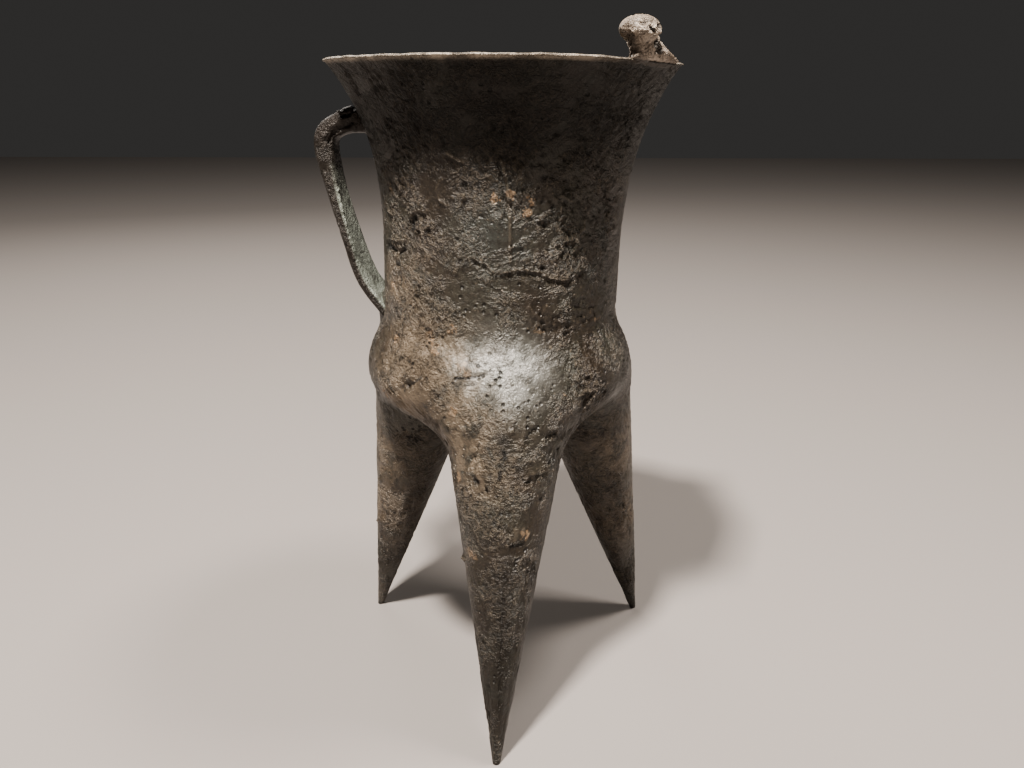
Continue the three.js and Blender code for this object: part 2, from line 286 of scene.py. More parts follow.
# One skin of the body, as points and quads, from the lip down to the three feet.
def buildSkin(inset, neckRows, fanRings, coneRings):
    columns = body["sectorColumns"]
    starts = np.concatenate([[0], np.cumsum(columns)])
    total = int(starts[-1])
    azimuths = np.concatenate(
        [-150 + 120 * k + 120 * np.arange(columns[k]) / columns[k] for k in range(3)]
    )
    angles = np.radians(azimuths)
    level = np.stack([np.cos(angles), np.sin(angles), np.zeros(total)], -1)
    share = (np.arange(neckRows + 1) / neckRows)[:, None] ** body["rowPower"]
    z = lipHeight(azimuths)[None, :] * (1 - share) + body["bellyHeight"] * share
    start = np.stack([middleLine(z), np.zeros_like(z), z], -1).reshape(-1, 3)
    direction = np.broadcast_to(level, (neckRows + 1, total, 3)).reshape(-1, 3)
    chunks = [leaveBody(start, direction, inset)]
    rings = np.arange((neckRows + 1) * total).reshape(neckRows + 1, total)
    count = rings.size
    quads = []

    def joinRings(upper, lower):
        quads.append(np.stack([upper, lower, np.roll(lower, -1), np.roll(upper, -1)], -1))

    for i in range(neckRows):
        joinRings(rings[i], rings[i + 1])

    heart = np.array([body["bellyShift"], 0.0, body["bellyHeight"]])
    chunks.append(leaveBody(heart[None], np.array([[0.0, 0.0, -1.0]]), inset))
    lowest = count
    count += 1
    steps = body["valleySteps"]
    valleys = []
    for k in range(3):
        dip = math.pi / 2 * np.arange(1, steps) / steps
        outward = level[starts[k]]
        aim = np.cos(dip)[:, None] * outward - np.sin(dip)[:, None] * np.array([0, 0, 1.0])
        chunks.append(leaveBody(heart, aim, inset))
        middle = np.arange(count, count + steps - 1)
        valleys.append(np.concatenate([[rings[-1, starts[k]]], middle, [lowest]]))
        count += steps - 1
    points = np.concatenate(chunks)

    triangles = []
    end = 0.0
    if inset > 0:
        end = body["hollowEnd"] + body["hollowRound"] * hollowRadius(inset)
    for k, leg in enumerate(legs):
        right, left = valleys[k], valleys[(k + 1) % 3]
        arc = rings[-1, np.arange(starts[k], starts[k + 1] + 1) % total]
        loop = np.concatenate([arc, left[1:], right[1:-1][::-1]])
        size = len(loop)
        opening = unit(points[loop] - heart)
        turn = 2 * np.pi * (np.arange(size) - columns[k] / 2) / size
        flat = np.cos(turn)[:, None] * leg["outward"] + np.sin(turn)[:, None] * leg["along"]
        shoulder = legCentre(leg, body["legTopHeight"])
        below = legCentre(leg, body["legFanHeight"])
        above, chunks = loop, []
        for i in range(1, fanRings + 1):
            s = i / fanRings
            source = (1 - s) ** 2 * heart + 2 * s * (1 - s) * shoulder + s * s * below
            turned = s ** body["fanDelay"]
            aim = unit(opening * (1 - turned) + flat * turned)
            chunks.append(leaveBody(source, aim, inset))
        for i in range(1, coneRings + 1):
            fall = (i / coneRings) ** body["ringPower"]
            z = body["legFanHeight"] + (end - body["legFanHeight"]) * fall
            chunks.append(leaveBody(legCentre(leg, z), flat, inset))
        for chunk in chunks:
            ring = np.arange(count, count + size)
            joinRings(above, ring)
            above = ring
            count += size
        chunks.append(legCentre(leg, body["hollowEnd"] if inset > 0 else 0.0)[None])
        triangles.append(np.stack([above, np.full(size, count), np.roll(above, -1)], -1))
        count += 1
        points = np.concatenate([points] + chunks)
    return points, np.concatenate(quads), np.concatenate(triangles), rings[0]


print("shaping the cast body")
outerPoints, outerQuads, outerTriangles, outerLip = buildSkin(
    0.0, body["neckRows"], body["fanRings"], body["coneRings"]
)
innerPoints, innerQuads, innerTriangles, innerLip = buildSkin(
    body["wall"], body["innerRows"], body["innerFanRings"], body["innerConeRings"]
)


# Single marks in the skin, each a stroke of points in mm from the vessel's axis: its height
# (minus for a pit or crack) and its half width, in mm.
bodyMarks = {
    "neckSeam": (1.1, 0.9, [
        (2.0, -64.2, 277.4), (4.0, -62.3, 269.0), (5.2, -60.8, 260.4), (5.6, -59.7, 251.7),
        (5.6, -58.9, 242.0), (5.6, -58.5, 233.1),
    ]),
    "seamShade": (-0.7, 0.9, [
        (0.2, -64.2, 277.4), (2.2, -62.3, 269.0), (3.2, -60.8, 260.4), (3.6, -59.7, 251.7),
    ]),
    "crackLine": (0.9, 0.6, [
        (-11.1, -57.8, 235.1), (-4.9, -58.5, 232.2), (-0.6, -58.7, 227.3), (5.6, -58.4, 229.1),
        (12.6, -57.3, 229.4), (18.7, -55.5, 228.2), (23.2, -53.7, 225.2), (30.9, -49.5, 223.4),
        (38.7, -43.9, 227.9),
    ]),
    "crackShade": (-0.6, 0.5, [
        (-10.0, -57.8, 232.6), (-4.5, -58.5, 229.8), (-0.6, -58.7, 225.0), (5.6, -58.4, 226.8),
        (12.6, -57.3, 227.2), (18.7, -55.5, 226.0), (23.2, -53.7, 223.2), (30.9, -49.5, 221.2),
        (38.7, -43.9, 225.4),
    ]),
    "hookPit": (-1.7, 1.3, [(-38.9, -44.7, 245.6), (-38.8, -45.0, 249.0), (-37.4, -46.1, 251.0)]),
    "hookEdge": (0.9, 0.9, [
        (-39.8, -44.2, 250.4), (-38.1, -45.9, 253.3), (-35.6, -48.1, 254.5), (-32.2, -50.3, 253.8),
    ]),
    "smallPits": (-1.1, 0.9, [(-37.0, -46.1, 244.2), (-35.6, -47.3, 243.8)]),
    "smallPitsRight": (-1.0, 0.9, [(-33.0, -49.1, 244.2), (-30.6, -50.8, 245.4)]),
    "leftScar": (1.0, 1.2, [(-54.4, -25.5, 257.9), (-52.8, -27.6, 253.5), (-49.8, -32.5, 250.5)]),
    "leftRidge": (0.8, 1.0, [(-54.8, -21.5, 237.5), (-48.1, -34.1, 238.4), (-42.9, -40.5, 240.0)]),
    "leftPitUpper": (-1.7, 1.3, [(-53.5, -24.7, 234.2), (-49.5, -31.8, 233.5)]),
    "leftPitMiddle": (-1.5, 1.1, [(-47.1, -35.2, 232.3), (-43.6, -39.6, 235.4)]),
    "leftPitLower": (-1.6, 1.2, [(-49.1, -32.4, 228.0), (-47.3, -35.0, 227.2)]),
    "leftRidgeLow": (0.9, 1.4, [
        (-51.8, -27.9, 224.2), (-50.8, -30.0, 216.4), (-49.2, -32.7, 209.8),
    ]),
    "leftPitLast": (-1.2, 1.1, [(-46.4, -36.6, 222.0), (-46.8, -36.0, 217.5)]),
    "bellyPitLeft": (-1.6, 0.9, [
        (-42.1, -52.9, 173.8), (-39.0, -54.8, 175.9), (-35.5, -56.4, 178.9),
    ]),
    "bellyPitMiddle": (-1.6, 0.9, [
        (-18.8, -63.7, 181.4), (-13.8, -65.0, 181.9), (-8.4, -65.9, 182.7), (-5.7, -65.5, 183.9),
    ]),
    "bellyPitLow": (-1.3, 0.8, [
        (-15.5, -66.1, 178.5), (-11.9, -66.8, 179.2), (-9.2, -67.3, 179.8),
    ]),
    "patchLeft": (1.1, 0.9, [(37.5, -55.3, 170.6), (39.9, -52.7, 172.1), (44.3, -48.5, 171.3)]),
    "patchRight": (1.1, 0.9, [
        (44.9, -47.8, 169.6), (43.0, -49.2, 165.6), (38.8, -52.5, 161.8), (36.6, -55.0, 165.2),
    ]),
    "patchHollow": (-1.4, 1.0, [(40.6, -52.0, 168.4), (39.4, -53.0, 165.6)]),
    "crackRight": (-1.5, 0.8, [(13.2, -74.0, 157.2), (15.3, -72.9, 159.2), (17.5, -71.7, 161.1)]),
    "foldRight": (1.2, 0.9, [
        (12.4, -75.5, 137.8), (15.5, -74.0, 139.6), (18.6, -72.0, 140.7), (22.2, -68.9, 139.9),
        (25.5, -64.8, 138.1),
    ]),
    "foldShade": (-1.0, 0.9, [
        (12.8, -75.5, 135.2), (16.0, -74.0, 137.0), (19.0, -72.0, 138.2), (22.4, -68.9, 137.4),
    ]),
    "pitChainFirst": (-1.7, 1.1, [(-10.6, -73.5, 137.0), (-8.6, -74.6, 135.2)]),
    "pitChainSecond": (-1.4, 0.9, [(-5.4, -76.2, 133.4), (-4.1, -76.7, 131.9)]),
    "pitChainThird": (-1.3, 0.9, [(-1.6, -77.4, 131.2), (0.2, -77.6, 130.6)]),
    "chainFold": (1.0, 0.9, [
        (-9.6, -74.4, 139.4), (-4.6, -76.6, 136.2), (0.4, -77.6, 134.8), (3.6, -77.3, 137.6),
    ]),
    "legPitTop": (-1.4, 1.2, [(3.5, -76.0, 151.3), (3.9, -76.1, 147.6)]),
    "legPitUnder": (-1.5, 1.3, [(1.7, -77.0, 141.3), (1.3, -77.2, 137.5)]),
    "legPitLeft": (-1.1, 0.8, [(-7.2, -74.0, 156.1), (-8.6, -73.7, 151.1)]),
    "legSeam": (-0.7, 0.9, [(2.6, -77.6, 133.9), (3.1, -78.6, 124.6), (3.1, -79.6, 113.4)]),
    "sidePit": (-1.2, 0.9, [(22.5, -69.2, 156.4), (26.6, -65.7, 156.0)]),
    "foldTop": (1.0, 0.8, [
        (5.4, -79.2, 117.6), (8.0, -78.9, 115.0), (11.2, -77.8, 116.0), (14.8, -76.0, 112.1),
    ]),
    "foldMiddle": (0.9, 0.7, [
        (4.5, -79.8, 113.0), (7.6, -79.4, 111.8), (10.7, -78.2, 113.2), (13.9, -76.8, 111.0),
    ]),
    "foldLow": (1.2, 0.8, [
        (5.0, -80.4, 107.8), (7.2, -79.7, 110.0), (10.3, -78.8, 108.6), (13.9, -76.8, 109.1),
    ]),
    "foldHollow": (-1.3, 0.9, [(6.6, -80.2, 107.4), (9.2, -79.4, 106.8), (12.2, -78.0, 107.0)]),
    "legCrease": (-0.75, 0.9, [
        (4.5, -81.8, 96.7), (3.2, -83.1, 87.3), (3.2, -84.1, 77.8), (2.8, -85.7, 63.4),
        (2.4, -87.0, 54.1), (2.0, -88.2, 38.8), (1.5, -89.2, 29.0),
    ]),
    "beltRight": (0.8, 1.0, [(53.9, -24.5, 193.8), (55.9, -25.9, 186.7), (55.1, -32.7, 181.1)]),
    "neckFoldHigh": (0.8, 0.9, [(25.3, -55.7, 259.9), (27.9, -54.7, 261.5), (33.3, -51.1, 258.5)]),
    "neckFoldRight": (1.0, 0.9, [(38.6, -45.9, 250.0), (38.2, -45.8, 246.4), (36.4, -47.1, 244.8)]),
    "neckFoldLow": (0.9, 0.8, [
        (31.0, -50.4, 241.7), (34.6, -48.1, 242.2), (36.6, -46.3, 238.3), (33.4, -48.5, 236.4),
    ]),
    "neckFoldLeft": (0.8, 0.9, [
        (-24.6, -56.9, 268.4), (-26.6, -54.9, 263.9), (-24.9, -55.1, 258.7), (-21.8, -56.2, 257.6),
    ]),
    "topNick": (1.0, 1.0, [(-20.9, -61.1, 280.1), (-17.5, -61.6, 278.0), (-14.1, -62.1, 276.4)]),
    "legKnobLeft": (1.6, 1.3, [(-15.9, -68.4, 95.1)]),
    "legKnobRight": (1.7, 1.3, [(20.6, -71.4, 93.4)]),
}

# Small beads of crust that stand proud, and coloured places: all in mm from the vessel's axis
bodyBeads = {
    "radius": 1.25,
    "height": 1.25,
    "places": [
        (-2.7, -83.5, 75.7), (9.5, -81.2, 81.7), (-10.8, -76.4, 93.8), (-0.4, -85.7, 63.3),
        (-6.5, -82.4, 58.3), (2.7, -78.7, 123.7), (-70.6, 19.0, 108.3), (-70.1, 19.5, 94.7),
        (-14.1, -59.2, 261.0), (-4.0, -62.6, 271.1), (-18.8, -55.6, 228.0), (7.4, -73.8, 166.0),
        (-46.8, -38.6, 195.7), (-47.2, -48.4, 167.3), (-74.0, 29.2, 63.8),
    ],
}
earthSpots = {
    "radius": 2.6,
    "places": [
        (6.1, -61.0, 262.5), (14.2, -59.3, 259.4), (12.5, -59.0, 254.6), (-0.8, -61.0, 261.2),
        (-31.1, -52.1, 194.7), (-28.5, -54.0, 191.5), (-15.8, -62.1, 186.1), (-14.0, -64.0, 183.6),
        (-20.7, -55.0, 201.3), (-20.0, -67.6, 166.7), (-55.0, -38.6, 164.8), (-17.9, -66.5, 134.3),
        (-51.5, -28.9, 215.7), (12.5, -77.4, 111.8), (-49.0, -37.4, 192.4),
    ],
}
smoothPlaces = {
    "radius": 15.0,
    "places": [(3.0, -66.0, 187.0), (9.0, -69.0, 181.0), (-4.5, -58.5, 247.0)],
}
# painted sheen: a pale patch on the belly's shoulder where the key light's highlight falls
paintedSheenPlaces = {
    "radius": 13.0,
    "places": [
        (4.0, -65.0, 188.5), (12.0, -66.0, 186.0), (-6.0, -65.0, 187.0), (7.0, -69.0, 180.0),
    ],
}
dustPatches = {
    "radius": 19.0,
    "places": [
        (-40.0, -49.0, 190.0), (-24.0, -60.0, 182.0), (-46.0, -46.0, 172.0), (-47.0, -34.0, 212.0),
        (-16.0, -66.0, 168.0), (-12.0, -72.0, 146.0), (-68.0, 16.0, 112.0), (-73.0, 26.0, 78.0),
        (66.0, 14.0, 116.0), (76.0, 28.0, 74.0),
    ],
}
darkStains = {
    "radius": 4.2,
    "places": [
        (3.5, -75.6, 156.8), (3.9, -76.0, 151.3), (5.0, -81.5, 100.0), (4.6, -82.1, 94.3),
        (3.6, -83.1, 87.3), (3.2, -84.1, 80.8), (3.0, -85.2, 71.0), (2.8, -85.7, 63.4),
        (2.4, -87.0, 54.1), (2.2, -87.6, 46.0), (2.0, -88.2, 38.8), (1.5, -89.2, 29.0),
        (10.6, -75.6, 142.7),
    ],
}
placedSpots = {
    "earth": earthSpots,
    "stainAndPaintedShade": darkStains,
    "dustAndPaintedLight": dustPatches,
    "paintedSheen": paintedSheenPlaces,
}
# Darkening painted into the colour: the legs grow darker towards the feet, most on the front leg,
# and the upper flare under the lip is made near black as a painted shade.
bodyDarkFeetAndPaintedShade = {
    "legs": 0.12,
    "frontLeg": 0.38,  # added on the leg towards the viewer
    "frontLegDepth": 40.0,
    "legTop": 150.0,
    "legFade": 110.0,
    "flare": 0.75,
    "flareHeights": (258.0, 292.0),
}


def strokeDistance(points, stroke):
    stroke = np.asarray(stroke, float)
    nearest = np.linalg.norm(points - stroke[0], axis=1)
    for a, b in zip(stroke, stroke[1:]):
        along = b - a
        share = np.clip((points - a) @ along / (along @ along), 0, 1)
        away = np.linalg.norm(points - a - share[:, None] * along, axis=1)
        nearest = np.minimum(nearest, away)
    return nearest


def markHeights(points, marks):
    height = np.zeros(len(points))
    for rise, width, stroke in marks.values():
        height += rise * np.exp(-((strokeDistance(points, stroke) / width) ** 2))
    return height


def spotShare(points, spots):
    share = np.zeros(len(points))
    for place in spots["places"]:
        away = np.linalg.norm(points - np.array(place), axis=1) / spots["radius"]
        share = np.maximum(share, np.exp(-(away**2)))
    return share


def toFrame(points):
    return (points + np.array([axisX / mm, axisY / mm, 0])) * mm


def makeMesh(name, points, faces):
    mesh = bpy.data.meshes.new(name)
    mesh.from_pydata(toFrame(np.asarray(points)).tolist(), [], [list(map(int, f)) for f in faces])
    mesh.validate()
    piece = bpy.data.objects.new(name, mesh)
    bpy.context.scene.collection.objects.link(piece)
    for face in mesh.polygons:
        face.use_smooth = True
    return piece


def tubeFaces(rings, sides):
    # quads from ring to ring, then a fan at each end round one of the two last points
    first = np.arange(sides)
    last = first + (rings - 1) * sides
    faces = []
    for i in range(rings - 1):
        a = first + i * sides
        b = np.roll(a, -1)
        faces += list(np.stack([a, b, b + sides, a + sides], -1))
    faces += list(np.stack([np.full(sides, rings * sides), np.roll(first, -1), first], -1))
    faces += list(np.stack([np.full(sides, rings * sides + 1), last, np.roll(last, -1)], -1))
    return faces


def settle(piece):
    # turns the piece's modifiers into its plain mesh
    graph = bpy.context.evaluated_depsgraph_get()
    mesh = bpy.data.meshes.new_from_object(piece.evaluated_get(graph))
    old = piece.data
    piece.modifiers.clear()
    piece.data = mesh
    mesh.name = piece.name
    bpy.data.meshes.remove(old)
    mesh.shade_smooth()
    print(piece.name, "has", sum(len(f.vertices) - 2 for f in mesh.polygons), "triangles")


def storeValues(piece, name, values):
    layer = piece.data.attributes.new(name, "FLOAT", "POINT")
    layer.data.foreach_set("value", np.asarray(values, np.float32))


# The lip's worn edges: the outer and inner skins meet over a narrow rounded band.
def buildBody():
    outer, inner = outerPoints.copy(), innerPoints.copy()
    turn = np.arctan2(outer[outerLip, 1], outer[outerLip, 0])
    waves, even = body["lipWaves"], body["lipWearEven"]
    wear = sum(np.sin(turn * count + count) for count in waves) / len(waves)
    wear = body["lipWear"] * (even + (1 - even) * wear)
    outer[outerLip, 2] -= wear
    inner[innerLip, 2] -= wear
    edge = outer[outerLip].copy()
    inside = inner[innerLip].copy()
    drop = body["lipRound"]
    outer[outerLip, 2] -= drop
    inner[innerLip, 2] -= drop
    bands = []
    for share, dip in body["lipProfile"]:
        band = edge + (inside - edge) * share
        band[:, 2] -= drop * dip
        bands.append(band)
    points = np.concatenate([outer, inner] + bands)
    shift = len(outer)
    faces = [*outerQuads.reshape(-1, 4), *outerTriangles]
    faces += [*(innerQuads.reshape(-1, 4)[:, ::-1] + shift), *(innerTriangles[:, ::-1] + shift)]
    first = shift + len(inner) + np.arange(len(edge))
    rows = [outerLip, *(first + i * len(edge) for i in range(len(bands))), innerLip + shift]
    for low, high in zip(rows, rows[1:]):
        faces += list(np.stack([low, np.roll(low, -1), np.roll(high, -1), high], -1))
    piece = makeMesh("castBody", points, faces)
    z = points[:, 2]
    skinOnly = np.ones(len(points))
    skinOnly[shift : shift + len(inner)] = 0.0
    relief = np.where(skinOnly > 0, 1.0, body["innerRelief"])
    below = lipHeight(0.0) - z
    relief *= body["lipRelief"] + (1 - body["lipRelief"]) * ease(below, *body["lipCalm"])
    calm = spotShare(points, smoothPlaces)
    relief *= ease(z, *body["footCalm"]) * (1 - body["calmShare"] * calm)
    storeValues(piece, "relief", relief)
    height = markHeights(points, bodyMarks) + bodyBeads["height"] * spotShare(points, bodyBeads)
    storeValues(piece, "mark", height * mm * skinOnly)
    storeValues(piece, "calm", calm * skinOnly)
    for name, spots in placedSpots.items():
        storeValues(piece, name, spotShare(points, spots) * skinOnly)
    # darker towards the feet, and painted shade on the upper flare
    darkFeetAndPaintedShade = bodyDarkFeetAndPaintedShade
    share = darkFeetAndPaintedShade["legs"] + darkFeetAndPaintedShade["frontLeg"] * ease(-points[:, 1], 0.0, darkFeetAndPaintedShade["frontLegDepth"])
    share *= ease(darkFeetAndPaintedShade["legTop"] - z, 0.0, darkFeetAndPaintedShade["legFade"])
    share += darkFeetAndPaintedShade["flare"] * ease(z, *darkFeetAndPaintedShade["flareHeights"])
    storeValues(piece, "darkFeetAndPaintedShade", share * skinOnly)
    # painted highlight along the lip's top band
    storeValues(piece, "paintedLipHighlight", 1 - ease(below, *body["lipHighlightBand"]))
    return piece


bodyPiece = buildBody()
print("cast body:", len(bodyPiece.data.vertices), "points")

# The strap handle
strapHandle = {
    "reach": 88.0,
    "bendHeight": 281.0,
    "topWidth": 15.0,
    "footWidth": 27.0,
    "topThickness": 11.6,
    "footThickness": 6.6,
    "bite": 1.6,
    "hollow": 0.9,  # how far the inner face is dished
    "knuckle": ((0.55, -1.0), (2.0, 0.5)),  # share outwards and rise, then pull and share down
    "fall": ((4.0, 0.27), (10.5, 0.55), (18.0, 0.82)),  # inwards, at this share of the way down
    "footTuck": 2.0,
    "cornerPower": 0.6,
    "widening": (0.15, 0.95),
    "thinning": (0.15, 0.6),
    "dishing": (0.2, 0.45),
    "innerFace": (0.3, 0.62),
    "paleStart": (0.3, 0.48),
    "paleEnd": (0.9, 1.0),
    "paleLoss": 0.3,
    "relief": 0.8,
    "rings": 190,
    "sides": 64,
}
strapMarks = {
    "topFold": (1.1, 1.3, [
        (-88.8, 0.3, 282.2), (-85.1, 0.1, 287.5), (-80.4, -0.3, 290.9), (-75.3, -0.7, 293.2),
        (-70.9, -0.2, 295.1),
    ]),
    "topLump": (1.6, 2.6, [(-78.2, 3.0, 295.2), (-73.2, 3.0, 296.4)]),
    "topHole": (-2.2, 1.3, [(-77.4, -0.2, 294.4), (-74.4, -0.4, 295.0)]),
    "underFold": (-1.1, 1.1, [
        (-84.9, -0.4, 281.0), (-81.9, -0.4, 285.6), (-77.4, -0.6, 288.3), (-73.0, -1.0, 290.4),
    ]),
    "underRidge": (0.8, 1.1, [(-83.2, -0.4, 279.4), (-79.2, -0.4, 284.0), (-73.6, -1.0, 287.0)]),
    "edgeLine": (0.8, 0.9, [
        (-84.4, -0.6, 268.8), (-81.8, -0.7, 260.5), (-79.6, -2.3, 248.4), (-76.2, -4.7, 233.8),
        (-72.6, -6.2, 219.9), (-67.3, -7.3, 207.9),
    ]),
    "edgeNick": (-0.9, 1.2, [(-88.6, -0.2, 274.4), (-86.6, -0.2, 276.0)]),
}


def spanPoint(p, t, s):
    # where the smooth curve through the four points p with the knots t is at s
    def between(a, b, low, high):
        share = (s - low) / (high - low)
        return a * (1 - share) + b * share

    a = [between(p[j], p[j + 1], t[j], t[j + 1]) for j in range(3)]
    b = [between(a[j], a[j + 1], t[j], t[j + 2]) for j in range(2)]
    return between(b[0], b[1], t[1], t[2])


def curveThrough(control, count, spanSteps=60):
    knots = [0.0]
    for a, b in zip(control, control[1:]):
        knots.append(knots[-1] + np.linalg.norm(b - a) ** 0.5)
    padded = [2 * control[0] - control[1], *control, 2 * control[-1] - control[-2]]
    times = [-(knots[1]), *knots, 2 * knots[-1] - knots[-2]]
    path = []
    for i in range(len(control) - 1):
        p, t = padded[i : i + 4], times[i : i + 4]
        for s in np.linspace(t[1], t[2], spanSteps, endpoint=i == len(control) - 2):
            path.append(spanPoint(p, t, s))
    path = np.array(path)
    run = np.concatenate([[0], np.cumsum(np.linalg.norm(np.diff(path, axis=0), axis=1))])
    even = np.linspace(0, run[-1], count)
    return np.stack([np.interp(even, run, path[:, i]) for i in range(3)], -1)


def buildStrap():
    strap = strapHandle
    top, foot = body["handleTopHeight"], body["handleFootHeight"]
    topInside = -(neckRadius(top) - strap["bite"]) + middleLine(top)
    footInside = -(body["waistRadius"] - strap["bite"]) + middleLine(foot)
    reach, bend = strap["reach"], strap["bendHeight"]
    straight = bend - foot
    (outShare, rise), (pull, midShare) = strap["knuckle"]
    control = [
        (topInside, top),
        (topInside + (-reach - topInside) * outShare, top + rise),
        (-reach + pull, top + (bend - top) * midShare),
        (-reach, bend),
        *((-reach + inwards, bend - straight * down) for inwards, down in strap["fall"]),
        (footInside, foot - strap["footTuck"]),
    ]
    path = curveThrough([np.array([x, 0.0, z]) for x, z in control], strap["rings"])
    tangent = unit(np.gradient(path, axis=0))
    outward = -np.stack([tangent[:, 2], np.zeros(len(path)), -tangent[:, 0]], -1)
    share = np.linspace(0, 1, len(path))
    widening, thinning = ease(share, *strap["widening"]), ease(share, *strap["thinning"])
    width = strap["topWidth"] + (strap["footWidth"] - strap["topWidth"]) * widening
    thick = strap["topThickness"] + (strap["footThickness"] - strap["topThickness"]) * thinning
    angle = 2 * np.pi * (np.arange(strap["sides"]) + 0.5) / strap["sides"]
    circle = np.stack([np.cos(angle), np.sin(angle)])
    across, through = np.sign(circle) * np.abs(circle) ** strap["cornerPower"]
    dished = strap["hollow"] * ease(share, *strap["dishing"])[:, None]
    depth = thick[:, None] / 2 * through - dished * (through > 0) * (1 - across**2) * through
    points = path[:, None] + outward[:, None] * depth[..., None]
    points = points + np.array([0, 1.0, 0]) * (width[:, None] / 2 * across)[..., None]
    rings, sides = points.shape[:2]
    inner = ease(through, *strap["innerFace"])  # the face turned to the neck
    turn = math.radians(body["handleAzimuth"] - 180)
    flat = points.reshape(-1, 3)
    flat = np.stack(
        [
            flat[:, 0] * math.cos(turn) - flat[:, 1] * math.sin(turn),
            flat[:, 0] * math.sin(turn) + flat[:, 1] * math.cos(turn),
            flat[:, 2],
        ],
        -1,
    )
    flat = np.concatenate([flat, flat[:sides].mean(0)[None], flat[-sides:].mean(0)[None]])
    piece = makeMesh("strapHandle", flat, tubeFaces(rings, sides))
    lengthwise = np.repeat(share, sides)
    ends = [0.0, 0.0]
    storeValues(piece, "relief", np.concatenate([np.full(rings * sides, strap["relief"]), ends]))
    # painted light: the inner face, turned to the neck, is painted pale from a third of the way
    # down
    pale = np.tile(inner, rings) * ease(lengthwise, *strap["paleStart"])
    pale *= 1 - strap["paleLoss"] * ease(lengthwise, *strap["paleEnd"])
    storeValues(piece, "paintedLitFace", np.concatenate([pale, ends]))
    storeValues(piece, "mark", markHeights(flat, strapMarks) * mm)
    return piece


print("shaping the strap handle")
strapPiece = buildStrap()

# The two posts
lipPosts = {
    "azimuths": (-47.0, 33.0),
    "height": 17.0,
    "stemWidth": 14.0,
    "stemDepth": 7.0,
    "footLong": 38.0,
    "footShort": 7.0,
    "ribWidth": 11.0,
    "ribOut": 3.0,
    "capWidth": 19.5,
    "capDepth": 16.0,
    "capThickness": 12.0,
    "capRows": 20,
    "sides": 40,
    "rowsPerLevel": 6,
    "skinVoxel": 0.00048,
    "wornSteps": 6,
    "rootPaintedShade": 0.9,
    "rootFade": (0.2, 1.2),
}
postMarks = {
    "recess": (-2.6, 2.6, [(66.8, -56.5, 323.9), (68.4, -53.6, 322.2)]),
    "capPitFront": (-1.4, 1.2, [(62.2, -68.2, 329.5), (63.9, -66.6, 328.1)]),
    "capPitRight": (-1.5, 1.3, [(65.9, -64.2, 330.6), (67.2, -62.4, 331.2)]),
    "capPitLeft": (-1.1, 1.0, [(58.5, -69.3, 331.0), (60.2, -67.8, 332.8)]),
    "capPitTop": (-1.0, 0.9, [(61.5, -67.1, 333.0), (62.9, -66.6, 333.0)]),
    "capPitLow": (-1.3, 1.1, [(65.7, -61.2, 326.4), (67.2, -59.4, 327.6)]),
    "capRidge": (0.9, 0.9, [
        (57.3, -69.7, 329.8), (60.6, -69.0, 328.3), (64.0, -67.0, 326.9), (66.4, -63.4, 328.6),
    ]),
    "flankHollow": (-1.6, 3.0, [(53.6, -67.4, 324.9), (55.0, -65.9, 321.3)]),
}
# painted shade: the left flank of the near post's stem and cap is darkened
paintedShadeFlank = {
    "radius": 6.0,
    "places": [(52.0, -67.9, 329.0), (53.4, -66.6, 325.3), (55.0, -65.9, 320.8)],
}
# painted light: the front of the near post's stem is painted pale
paintedLitFront = {
    "radius": 6.5,
    "places": [(60.5, -64.5, 324.5), (62.5, -63.0, 321.5), (66.0, -60.0, 320.0)],
}


def atLip(azimuth, along, outwards, above):
    high = body["rimHeight"]
    middle = body["waistRadius"] + body["mouthFlare"] - body["wall"] * levelWall(high - 1) / 2
    slope = neckRadius(high) - neckRadius(high - 1)
    angle = np.radians(azimuth) + along / middle
    reach = middle + outwards + np.minimum(above, 0) * slope
    return np.stack(
        [
            body["mouthShift"] + reach * np.cos(angle),
            reach * np.sin(angle),
            lipHeight(np.degrees(angle)) + above,
        ],
        -1,
    )


def postLoft(azimuth, levels):
    turned = 1 if azimuth < 0 else -1
    sides = lipPosts["sides"]
    angle = -2 * np.pi * np.arange(sides) / sides
    rows = []
    levels = np.array(levels, float)
    count = len(levels)
    across = np.cos(angle)
    for s in np.linspace(0, count - 1, lipPosts["rowsPerLevel"] * (count - 1) + 1):
        above, short, long, depth, out = (np.interp(s, np.arange(count), c) for c in levels.T)
        along = across * np.where(across * turned > 0, long, short)
        rows.append(atLip(azimuth, along, out + np.sin(angle) * depth, np.full(sides, above)))
    points = np.concatenate(rows)
    points = np.concatenate([points, rows[0].mean(0)[None], rows[-1].mean(0)[None]])
    return points, tubeFaces(len(rows), sides)


def postCap(azimuth):
    post = lipPosts
    rows, sides = post["capRows"], post["sides"]
    place = atLip(azimuth, 0.0, 0.0, post["height"] - post["capThickness"] / 2)
    out = outwardOf(azimuth)
    along = np.array([-out[1], out[0], 0])
    rings = []
    for i in range(1, rows):
        dip = math.pi * i / rows
        angle = 2 * np.pi * np.arange(sides) / sides
        rings.append(
            place
            + out * (post["capDepth"] / 2 * math.sin(dip) * np.cos(angle))[:, None]
            + along * (post["capWidth"] / 2 * math.sin(dip) * np.sin(angle))[:, None]
            - np.array([0, 0, post["capThickness"] / 2 * math.cos(dip)])
        )
    low = place - np.array([0, 0, post["capThickness"] / 2])
    high = place + np.array([0, 0, post["capThickness"] / 2])
    points = np.concatenate(rings + [low[None], high[None]])
    return points, tubeFaces(rows - 1, sides)


